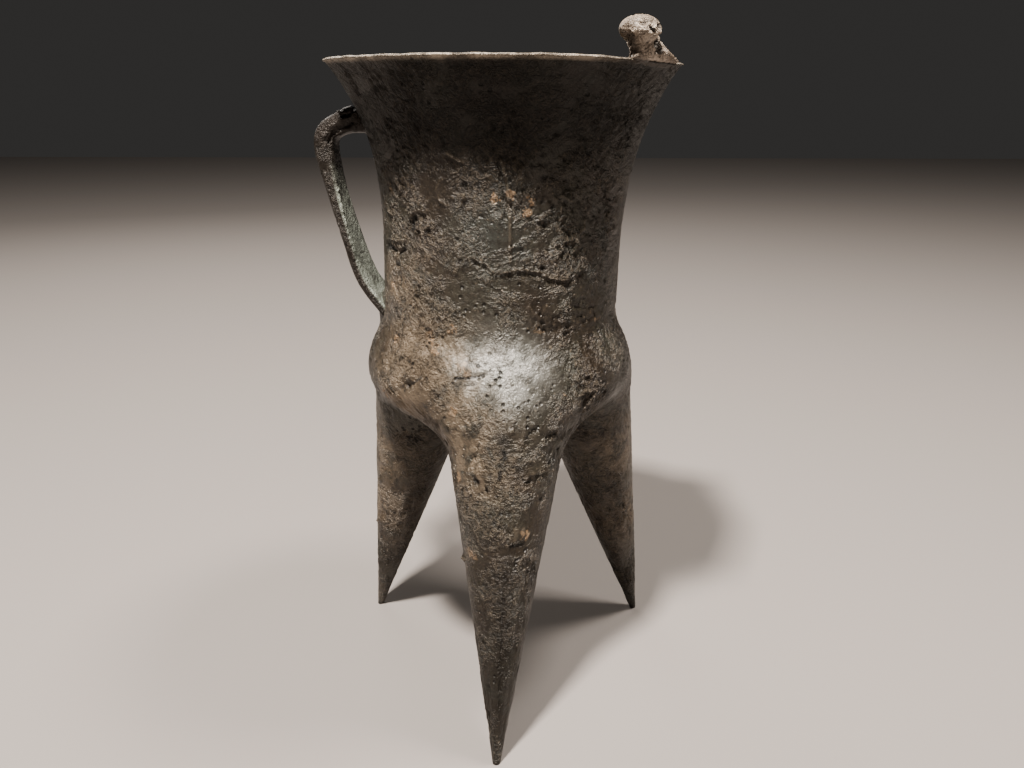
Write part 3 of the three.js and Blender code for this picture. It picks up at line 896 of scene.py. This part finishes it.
def buildPost(name, azimuth):
    post = lipPosts
    h, halfWidth, halfDepth = post["height"], post["stemWidth"] / 2, post["stemDepth"] / 2
    half, ribOut = post["ribWidth"] / 2, post["ribOut"]
    # each level: height, reach to either side along the lip, half depth, shift outwards
    stem = [
        (-3, post["footShort"] * 0.9, post["footLong"] * 0.8, 0.5, 0),
        (-0.7, post["footShort"], post["footLong"] * 0.92, 0.9, 0),
        (h * 0.03, post["footShort"], post["footLong"], 1.3, 0),
        (h * 0.15, halfWidth, post["footLong"] * 0.76, halfDepth * 0.7, 0),
        (h * 0.3, halfWidth, post["footLong"] * 0.52, halfDepth * 0.9, 0),
        (h * 0.5, halfWidth * 1.05, halfWidth * 1.75, halfDepth, 0),
        (h * 0.72, halfWidth * 1.2, halfWidth * 1.35, halfDepth, 0),
    ]
    rib = [
        (-2.6, half * 0.8, half * 0.9, 0.6, 0),
        (-0.4, half, half * 1.2, ribOut / 2, ribOut / 2),
        (h * 0.2, half * 0.75, half * 0.9, ribOut / 2, ribOut * 0.8),
        (h * 0.62, half * 0.5, half * 0.55, ribOut / 2, ribOut * 0.9),
    ]
    points, faces = [], []
    shift = 0
    lofts = (postLoft(azimuth, stem), postLoft(azimuth, rib), postCap(azimuth))
    for somePoints, someFaces in lofts:
        points.append(somePoints)
        faces += [face + shift for face in someFaces]
        shift += len(somePoints)
    piece = makeMesh(name, np.concatenate(points), faces)
    remesh = piece.modifiers.new("oneSkin", "REMESH")
    remesh.mode = "VOXEL"
    remesh.voxel_size = post["skinVoxel"]
    remesh.use_smooth_shade = True
    soften = piece.modifiers.new("wornEdges", "SMOOTH")
    soften.iterations = post["wornSteps"]
    settle(piece)
    flat = np.empty(3 * len(piece.data.vertices))
    piece.data.vertices.foreach_get("co", flat)
    flat = flat.reshape(-1, 3) / mm - np.array([axisX / mm, axisY / mm, 0])
    below = lipHeight(np.degrees(np.arctan2(flat[:, 1], flat[:, 0]))) - flat[:, 2]
    # below the lip the root is darkened like the flare it stands on: painted shade
    storeValues(piece, "darkFeetAndPaintedShade", post["rootPaintedShade"] * ease(below, *post["rootFade"]))
    if name == "nearPost":
        storeValues(piece, "mark", markHeights(flat, postMarks) * mm)
        # painted shade on the left flank, painted light on the front
        storeValues(piece, "stainAndPaintedShade", spotShare(flat, paintedShadeFlank))
        storeValues(piece, "dustAndPaintedLight", spotShare(flat, paintedLitFront))
    return piece


print("shaping the posts")
postNames = ("nearPost", "farPost")
postPieces = [buildPost(name, azimuth) for name, azimuth in zip(postNames, lipPosts["azimuths"])]

# The corroded skin: lumps, wrinkled crust and pits pushed inwards from the cast surface
corrodedSkin = {
    "lumpSize": 0.026,
    "lumpHeight": 0.0007,
    "crustSize": 0.0052,
    "crustHeight": 0.0013,
    "pitSize": 0.0048,
    "pitDepth": 0.0009,
    "everywhere": 0.0,  # the least relief, also where a piece stores none
    "seed": 7,
    "lumpLevel": 0.62,
    "lumpGain": 2.0,
    "foldSharpness": 7.0,
    "crustLevel": 0.8,
    "crustPatches": (0.42, 0.6, 0.25, 1.0),
    "pitEdge": (0.42, 0.12),
    "pitChoice": (0.66, 0.78),
    "markGrain": 0.0028,
    "markBreaks": (0.36, 0.6, 0.25, 1.25),
}


def addNode(tree, kind, **settings):
    node = tree.nodes.new(kind)
    for key, value in settings.items():
        setattr(node, key, value)
    return node


def mathNode(tree, operation, a, b=None, c=None, clamp=False):
    node = addNode(tree, "ShaderNodeMath", operation=operation, use_clamp=clamp)
    for socket, value in zip(node.inputs, (a, b, c)):
        if value is None:
            continue
        if isinstance(value, (int, float)):
            socket.default_value = value
        else:
            tree.links.new(value, socket)
    return node.outputs[0]


def rangeNode(tree, value, low, high, toLow=0.0, toHigh=1.0):
    node = addNode(tree, "ShaderNodeMapRange", interpolation_type="SMOOTHSTEP")
    tree.links.new(value, node.inputs["Value"])
    ends = {"From Min": low, "From Max": high, "To Min": toLow, "To Max": toHigh}
    for name, number in ends.items():
        node.inputs[name].default_value = number
    return node.outputs["Result"]


def makeReliefTree(settings):
    tree = bpy.data.node_groups.new("corrodedSkin", "GeometryNodeTree")
    face = tree.interface
    face.new_socket("Geometry", in_out="INPUT", socket_type="NodeSocketGeometry")
    names = {
        "Lump Size": "lumpSize",
        "Lump Height": "lumpHeight",
        "Crust Size": "crustSize",
        "Crust Height": "crustHeight",
        "Pit Size": "pitSize",
        "Pit Depth": "pitDepth",
        "Everywhere": "everywhere",
    }
    for label, key in names.items():
        socket = face.new_socket(label, in_out="INPUT", socket_type="NodeSocketFloat")
        socket.default_value = settings[key]
    seed = face.new_socket("Seed", in_out="INPUT", socket_type="NodeSocketInt")
    seed.default_value = settings["seed"]
    face.new_socket("Finish", in_out="INPUT", socket_type="NodeSocketMaterial")
    face.new_socket("Geometry", in_out="OUTPUT", socket_type="NodeSocketGeometry")
    given = addNode(tree, "NodeGroupInput").outputs
    result = addNode(tree, "NodeGroupOutput")
    place = addNode(tree, "GeometryNodeInputPosition").outputs[0]
    facing = addNode(tree, "GeometryNodeInputNormal").outputs[0]

    def named(label):
        node = addNode(tree, "GeometryNodeInputNamedAttribute", data_type="FLOAT")
        node.inputs["Name"].default_value = label
        return node.outputs["Attribute"]

    def noise(size, detail, roughness=0.55, distortion=0.0, seedShift=0.0):
        node = addNode(tree, "ShaderNodeTexNoise", noise_dimensions="4D")
        tree.links.new(place, node.inputs["Vector"])
        tree.links.new(mathNode(tree, "ADD", given["Seed"], seedShift), node.inputs["W"])
        if isinstance(size, float):
            node.inputs["Scale"].default_value = 1 / size
        else:
            tree.links.new(mathNode(tree, "DIVIDE", 1.0, size), node.inputs["Scale"])
        node.inputs["Detail"].default_value = detail
        node.inputs["Roughness"].default_value = roughness
        node.inputs["Distortion"].default_value = distortion
        return node.outputs["Fac"]

    mask = mathNode(tree, "MAXIMUM", named("relief"), given["Everywhere"])
    lump = mathNode(tree, "SUBTRACT", noise(given["Lump Size"], 2.0), settings["lumpLevel"])
    lump = mathNode(tree, "MULTIPLY", lump, given["Lump Height"])
    lump = mathNode(tree, "MULTIPLY", lump, settings["lumpGain"])
    # wrinkles: the folds of a noise stand up as thin ridges
    fold = mathNode(tree, "SUBTRACT", noise(given["Crust Size"], 4.0, 0.62, 0.9, 3.7), 0.5)
    fold = mathNode(tree, "ABSOLUTE", fold)
    fold = mathNode(tree, "MULTIPLY", fold, settings["foldSharpness"])
    ridge = mathNode(tree, "SUBTRACT", 1.0, fold, clamp=True)
    crustPlace = noise(given["Lump Size"], 2.0, 0.6, 0.5, 11.3)
    crustPlace = rangeNode(tree, crustPlace, *settings["crustPatches"])
    crust = mathNode(tree, "SUBTRACT", ridge, settings["crustLevel"])
    crust = mathNode(tree, "MULTIPLY", crust, given["Crust Height"])
    crust = mathNode(tree, "MULTIPLY", crust, crustPlace)
    cells = addNode(tree, "ShaderNodeTexVoronoi", voronoi_dimensions="4D")
    tree.links.new(place, cells.inputs["Vector"])
    tree.links.new(given["Seed"], cells.inputs["W"])
    tree.links.new(mathNode(tree, "DIVIDE", 1.0, given["Pit Size"]), cells.inputs["Scale"])
    hole = rangeNode(tree, cells.outputs["Distance"], *settings["pitEdge"])
    pick = addNode(tree, "FunctionNodeSeparateColor")
    tree.links.new(cells.outputs["Color"], pick.inputs[0])
    chosen = rangeNode(tree, pick.outputs[0], *settings["pitChoice"])
    hole = mathNode(tree, "MULTIPLY", hole, chosen)
    pit = mathNode(tree, "MULTIPLY", hole, given["Pit Depth"])
    height = mathNode(tree, "SUBTRACT", mathNode(tree, "ADD", lump, crust), pit)
    height = mathNode(tree, "MULTIPLY", height, mask)
    height = mathNode(tree, "MINIMUM", height, 0.0)
    broken = noise(settings["markGrain"], 2.0, 0.6, 0.5, 29.0)
    broken = rangeNode(tree, broken, *settings["markBreaks"])
    height = mathNode(tree, "MULTIPLY_ADD", named("mark"), broken, height)
    push = addNode(tree, "ShaderNodeVectorMath", operation="SCALE")
    tree.links.new(facing, push.inputs[0])
    tree.links.new(height, push.inputs["Scale"])
    keep = addNode(tree, "GeometryNodeStoreNamedAttribute", data_type="FLOAT", domain="POINT")
    keep.inputs["Name"].default_value = "pit"
    tree.links.new(given["Geometry"], keep.inputs["Geometry"])
    tree.links.new(hole, keep.inputs["Value"])
    move = addNode(tree, "GeometryNodeSetPosition")
    tree.links.new(keep.outputs["Geometry"], move.inputs["Geometry"])
    tree.links.new(push.outputs[0], move.inputs["Offset"])
    real = addNode(tree, "GeometryNodeRealizeInstances")
    tree.links.new(move.outputs[0], real.inputs[0])
    finish = addNode(tree, "GeometryNodeSetMaterial")
    tree.links.new(real.outputs[0], finish.inputs["Geometry"])
    tree.links.new(given["Finish"], finish.inputs["Material"])
    tree.links.new(finish.outputs[0], result.inputs[0])
    return tree


reliefTree = makeReliefTree(corrodedSkin)


def setInput(modifier, label, value):
    for item in modifier.node_group.interface.items_tree:
        if item.in_out == "INPUT" and item.name == label:
            modifier[item.identifier] = value


def addRelief(piece, finish, changes):
    modifier = piece.modifiers.new("corrodedSkin", "NODES")
    modifier.node_group = reliefTree
    setInput(modifier, "Finish", finish)
    for label, value in changes.items():
        setInput(modifier, label, value)


# The patina, with the painted light and shade, in linear colours
patinaAndPaintedLight = {
    "brown": (0.022, 0.015, 0.009),
    "greyGreen": (0.026, 0.0235, 0.016),
    "blueGrey": (0.035, 0.039, 0.034),
    "crustPale": (0.165, 0.13, 0.09),
    # near black, for the pits and for painted shade
    "pitAndShadeDark": (0.004, 0.0033, 0.0025),
    "ochre": (0.27, 0.175, 0.098),
    # painted light: the strap's lit inner face, the lip's top band and the belly's sheen
    "paintedLitFace": (0.2, 0.215, 0.18),
    "paintedLipHighlight": (0.27, 0.225, 0.175),
    "paintedSheenColour": (0.27, 0.262, 0.235),
    "dustAndPaintedLight": (0.2, 0.15, 0.1),
    "darkBrown": 0.35,  # times the brown
    "paleBlueGrey": 1.25,  # times the blue grey
    "metallic": 0.35,
    "shine": 0.45,
    "darkFeetAndShadeDulling": 0.85,  # how much of the shine the darkening and the painted shade take away
    "wax": 0.1,
    "waxRoughness": 0.28,
    "leastRoughness": 0.28,
    "ochreShare": 0.1,
    "bumpHeight": 0.0021,
    "bump": 1.0,
    "foldSharpness": 7.0,
    "holeScale": 300,
}
# The strap's colours are darker than the body's: painted shade on its sides
strapPaintedShadeChanges = {
    "brown": (0.012, 0.008, 0.0055),
    "greyGreen": (0.016, 0.013, 0.01),
    "blueGrey": (0.022, 0.024, 0.022),
    "crustPale": (0.035, 0.028, 0.022),
    "shine": 0.22,
    "wax": 0.05,
    "ochreShare": 0.02,
    "bump": 0.6,
}
# The posts are far paler than the body: partly their pale crust, partly painted light on their tops
# and fronts; on the near post's front the dust colour is painted light
postPaintedLightChanges = {
    "brown": (0.22, 0.165, 0.12),
    "greyGreen": (0.36, 0.29, 0.225),
    "blueGrey": (0.32, 0.28, 0.235),
    "crustPale": (0.38, 0.31, 0.24),
    "dustAndPaintedLight": (0.6, 0.5, 0.4),
    "ochreShare": 0.03,
}

# Each grain's scale per metre, detail, roughness, distortion and place in the noise
grains = {
    "patches": (30, 5, 0.62, 0.6, 1.0),
    "cool": (24, 5, 0.66, 1.0, 5.0),
    "crust": (42, 5, 0.62, 0.8, 21.0),
    "wideFolds": (190, 4, 0.6, 1.1, 17.0),
    "narrowFolds": (430, 4, 0.6, 0.9, 23.0),
    "fine": (950, 3, 0.6, 0.2, 15.0),
    "holed": (60, 3, 0.6, 0.3, 31.0),
    "sheenGrain": (150, 5, 0.66, 0.6, 41.0),
    "mottle": (420, 5, 0.7, 0.5, 2.0),
    "specks": (520, 3, 0.6, 0.3, 4.0),
    "rough": (330, 4, 0.7, 0.6, 27.0),
    "earth": (75, 5, 0.65, 0.6, 6.0),
    "earthy": (17, 2, 0.5, 0.0, 9.0),
    "dusty": (110, 5, 0.66, 0.6, 33.0),
    "face": (130, 5, 0.62, 0.6, 3.0),
    "lip": (160, 4, 0.6, 0.3, 13.0),
    "gloss": (45, 5, 0.6, 0.2, 12.0),
}

# From which value to which a grain comes up, and between which shares if not 0 and 1
edges = {
    "patches": (0.4, 0.6),
    "cool": (0.52, 0.68),
    "crust": (0.42, 0.58, 0.12, 1.0),
    "crustTops": (0.55, 0.95),
    "holes": (0.34, 0.1),
    "holed": (0.5, 0.6),
    "sheenGrain": (0.34, 0.6, 0.2, 1.0),
    "mottle": (0.55, 0.4),
    "specks": (0.62, 0.7),
    "rough": (0.42, 0.55),
    "earth": (0.74, 0.8),
    "earthy": (0.48, 0.6),
    "placedEarth": (0.66, 0.9),
    "dusty": (0.36, 0.6),
    "face": (0.3, 0.56, 0.25, 1.0),
    "lip": (0.3, 0.55, 0.3, 1.0),
    "raised": (0.0003, 0.001),
    "sunken": (-0.00045, -0.0012),
}

# How far each layer hides what lies under it
cover = {
    "cool": 0.7,
    "calm": 0.7,
    "mottle": 0.6,
    "crustTops": 0.55,
    "specks": 0.6,
    "earth": 0.6,
    "placedEarth": 0.8,
    "dusty": 0.8,
    "sheenGrain": 0.75,
    "raised": 0.25,
    "sunken": 0.85,
    "stainAndPaintedShade": 0.7,
    "pit": 0.6,
    "holes": 0.8,
}

# The bump's parts, in shares of its height
bumps = {"wideFolds": 0.7, "narrowFolds": 0.34, "fine": 0.2, "holes": 0.55, "calm": 0.78}


def makePatinaAndPaintedLight(name, settings):
    material = bpy.data.materials.new(name)
    material.use_nodes = True
    tree = material.node_tree
    shader = tree.nodes["Principled BSDF"]
    shader.inputs["Metallic"].default_value = settings["metallic"]
    shader.inputs["Coat Weight"].default_value = settings["wax"]
    shader.inputs["Coat Roughness"].default_value = settings["waxRoughness"]
    where = addNode(tree, "ShaderNodeTexCoord").outputs["Object"]

    def noise(key):
        node = addNode(tree, "ShaderNodeTexNoise", noise_dimensions="4D")
        tree.links.new(where, node.inputs["Vector"])
        sockets = ("Scale", "Detail", "Roughness", "Distortion", "W")
        for socket, value in zip(sockets, grains[key]):
            node.inputs[socket].default_value = value
        return node.outputs["Fac"]

    def named(label):
        return addNode(tree, "ShaderNodeAttribute", attribute_name=label).outputs["Fac"]

    def times(a, b):
        return mathNode(tree, "MULTIPLY", a, b)

    def minus(a, b):
        return mathNode(tree, "SUBTRACT", a, b)

    def timesPlus(a, b, c):
        return mathNode(tree, "MULTIPLY_ADD", a, b, c)

    def upTo(value, key):
        return rangeNode(tree, value, *edges[key])

    def spread(key):
        return upTo(noise(key), key)

    def folds(key):
        away = mathNode(tree, "ABSOLUTE", minus(noise(key), 0.5))
        return mathNode(tree, "SUBTRACT", 1.0, times(away, settings["foldSharpness"]), clamp=True)

    def mix(share, a, b):
        node = addNode(tree, "ShaderNodeMix", data_type="RGBA")
        for socket, value in ((node.inputs[0], share), (node.inputs[6], a), (node.inputs[7], b)):
            if isinstance(value, tuple):
                socket.default_value = (*value, 1)
            else:
                tree.links.new(value, socket)
        return node.outputs[2]

    # where the crust is thick, and how high each fold of it stands
    calm = named("calm")
    thick = times(spread("crust"), minus(1.0, times(calm, bumps["calm"])))
    wide, narrow = folds("wideFolds"), folds("narrowFolds")
    cells = addNode(tree, "ShaderNodeTexVoronoi")
    tree.links.new(where, cells.inputs["Vector"])
    cells.inputs["Scale"].default_value = settings["holeScale"]
    holes = times(upTo(cells.outputs["Distance"], "holes"), spread("holed"))
    height = timesPlus(wide, bumps["wideFolds"], times(narrow, bumps["narrowFolds"]))
    height = timesPlus(noise("fine"), bumps["fine"], times(height, thick))
    height = minus(height, times(holes, bumps["holes"]))

    # the metal's own corroded colour
    dark = tuple(c * settings["darkBrown"] for c in settings["brown"])
    pale = tuple(c * settings["paleBlueGrey"] for c in settings["blueGrey"])
    colour = mix(spread("patches"), settings["brown"], settings["greyGreen"])
    colour = mix(times(spread("cool"), cover["cool"]), colour, settings["blueGrey"])
    colour = mix(times(calm, cover["calm"]), colour, pale)
    mottle = noise("mottle")
    colour = mix(times(upTo(mottle, "mottle"), cover["mottle"]), colour, dark)
    tops = times(upTo(timesPlus(narrow, 0.5, times(wide, 0.5)), "crustTops"), thick)
    colour = mix(times(tops, cover["crustTops"]), colour, settings["crustPale"])
    colour = mix(times(spread("specks"), cover["specks"]), colour, settings["crustPale"])

    # dust and earth that stick to it, painted light on the strap's inner face and on the near
    # post's front, and a painted sheen on the belly
    rough = spread("rough")
    low, high = (edge - settings["ochreShare"] for edge in edges["earth"])
    earth = times(rangeNode(tree, noise("earth"), low, high), spread("earthy"))
    placed = upTo(timesPlus(named("earth"), 0.8, times(rough, 0.5)), "placedEarth")
    placed = times(placed, cover["placedEarth"])
    earth = mathNode(tree, "MAXIMUM", times(earth, cover["earth"]), placed)
    dusty = times(named("dustAndPaintedLight"), spread("dusty"))
    colour = mix(times(dusty, cover["dusty"]), colour, settings["dustAndPaintedLight"])
    colour = mix(times(earth, timesPlus(rough, 0.7, 0.3)), colour, settings["ochre"])
    # painted light on the strap's inner face
    colour = mix(times(named("paintedLitFace"), spread("face")), colour, settings["paintedLitFace"])
    # painted sheen on the belly's shoulder
    sheenGrain = times(named("paintedSheen"), spread("sheenGrain"))
    colour = mix(times(sheenGrain, cover["sheenGrain"]), colour, settings["paintedSheenColour"])

    # the legs grow darker towards the feet, and the upper flare is made near black as painted
    # shade; both lose most of their shine
    darkFeetAndPaintedShade = named("darkFeetAndPaintedShade")
    colour = mix(darkFeetAndPaintedShade, colour, settings["pitAndShadeDark"])
    shine = timesPlus(darkFeetAndPaintedShade, -settings["darkFeetAndShadeDulling"] * settings["shine"], settings["shine"])
    tree.links.new(shine, shader.inputs["Specular IOR Level"])

    # the lip's painted highlight, the single marks, the stains with the post flank's painted shade,
    # the pits and the small holes
    colour = mix(times(named("paintedLipHighlight"), spread("lip")), colour, settings["paintedLipHighlight"])
    mark = named("mark")
    colour = mix(times(upTo(mark, "raised"), cover["raised"]), colour, settings["crustPale"])
    # sunken marks go near black: the pits' and cracks' own colour, and painted shade in the grooves
    # beside the seam, the crack and the folds and in the post's recess and flank hollow
    colour = mix(times(upTo(mark, "sunken"), cover["sunken"]), colour, settings["pitAndShadeDark"])
    colour = mix(times(named("stainAndPaintedShade"), cover["stainAndPaintedShade"]), colour, dark)
    colour = mix(times(named("pit"), cover["pit"]), colour, settings["pitAndShadeDark"])
    colour = mix(times(holes, cover["holes"]), colour, settings["pitAndShadeDark"])
    tree.links.new(colour, shader.inputs["Base Color"])

    roughness = timesPlus(mottle, 0.22, timesPlus(noise("gloss"), 0.4, 0.1))
    roughness = minus(roughness, times(calm, 0.12))
    roughness = mathNode(tree, "MAXIMUM", roughness, settings["leastRoughness"])
    tree.links.new(roughness, shader.inputs["Roughness"])
    bump = addNode(tree, "ShaderNodeBump")
    bump.inputs["Strength"].default_value = settings["bump"]
    bump.inputs["Distance"].default_value = settings["bumpHeight"]
    tree.links.new(height, bump.inputs["Height"])
    tree.links.new(bump.outputs[0], shader.inputs["Normal"])
    return material


print("mixing the patina")
bodyPatinaAndPaintedLight = makePatinaAndPaintedLight("bodyPatinaAndPaintedLight", patinaAndPaintedLight)
strapPatinaAndPaintedLight = makePatinaAndPaintedLight("strapPatinaAndPaintedLight", {**patinaAndPaintedLight, **strapPaintedShadeChanges})
postPatinaAndPaintedLight = makePatinaAndPaintedLight("postPatinaAndPaintedLight", {**patinaAndPaintedLight, **postPaintedLightChanges})

print("raising the corroded skin")
strapRelief = {"Crust Height": 0.0004, "Pit Depth": 0.0003, "Lump Height": 0.0005}
postRelief = {
    "Everywhere": 0.7,
    "Crust Size": 0.005,
    "Pit Size": 0.0035,
    "Pit Depth": 0.0006,
    "Lump Height": 0.0006,
}
addRelief(bodyPiece, bodyPatinaAndPaintedLight, {})
addRelief(strapPiece, strapPatinaAndPaintedLight, strapRelief)
for piece in postPieces:
    addRelief(piece, postPatinaAndPaintedLight, postRelief)
for piece in (bodyPiece, strapPiece, *postPieces):
    settle(piece)
    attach(piece, "root")
    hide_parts(castNode)

# The pale floor and the soft lights
studio = {
    "floorColour": (0.208, 0.186, 0.17),
    "floorRoughness": 0.9,
    "floorReach": 4.0,
    "worldColour": (0.8, 0.77, 0.74),
    "worldStrength": 0.04,
    "lampColour": (1.0, 0.93, 0.86),
    "keyPower": 128.0,
    "keySize": 0.14,
    "keyPlace": (-0.24, -0.66, 1.6),
    "backPower": 13.0,
    "backSize": 0.9,
    "backPlace": (-0.6, 1.25, 1.1),
    "sidePower": 30.0,
    "sideSize": 0.25,
    "sidePlace": (0.44, -0.04, 1.5),
    "aimHeight": 0.2,
}


def buildStudio(settings):
    floor = bpy.data.objects.new("paleFloor", bpy.data.meshes.new("paleFloor"))
    far = settings["floorReach"]
    corners = [(-far, -far, 0), (far, -far, 0), (far, far, 0), (-far, far, 0)]
    floor.data.from_pydata(corners, [], [(0, 1, 2, 3)])
    bpy.context.scene.collection.objects.link(floor)
    paint = bpy.data.materials.new("paleFloor")
    paint.use_nodes = True
    shader = paint.node_tree.nodes["Principled BSDF"]
    shader.inputs["Base Color"].default_value = (*settings["floorColour"], 1)
    shader.inputs["Roughness"].default_value = settings["floorRoughness"]
    floor.data.materials.append(paint)
    world = bpy.context.scene.world or bpy.data.worlds.new("softRoom")
    bpy.context.scene.world = world
    world.use_nodes = True
    air = world.node_tree.nodes["Background"]
    air.inputs["Color"].default_value = (*settings["worldColour"], 1)
    air.inputs["Strength"].default_value = settings["worldStrength"]
    middle = Vector((axisX, axisY, settings["aimHeight"]))
    for label in ("key", "side", "back"):
        lamp = bpy.data.lights.new(label + "Light", "AREA")
        lamp.energy = settings[label + "Power"]
        lamp.color = settings["lampColour"]
        lamp.size = settings[label + "Size"]
        holder = bpy.data.objects.new(label + "Light", lamp)
        bpy.context.scene.collection.objects.link(holder)
        holder.location = settings[label + "Place"]
        holder.rotation_mode = "QUATERNION"
        holder.rotation_quaternion = (holder.location - middle).to_track_quat("Z", "Y")


print("setting the floor and the lights")
buildStudio(studio)

print("finishing")
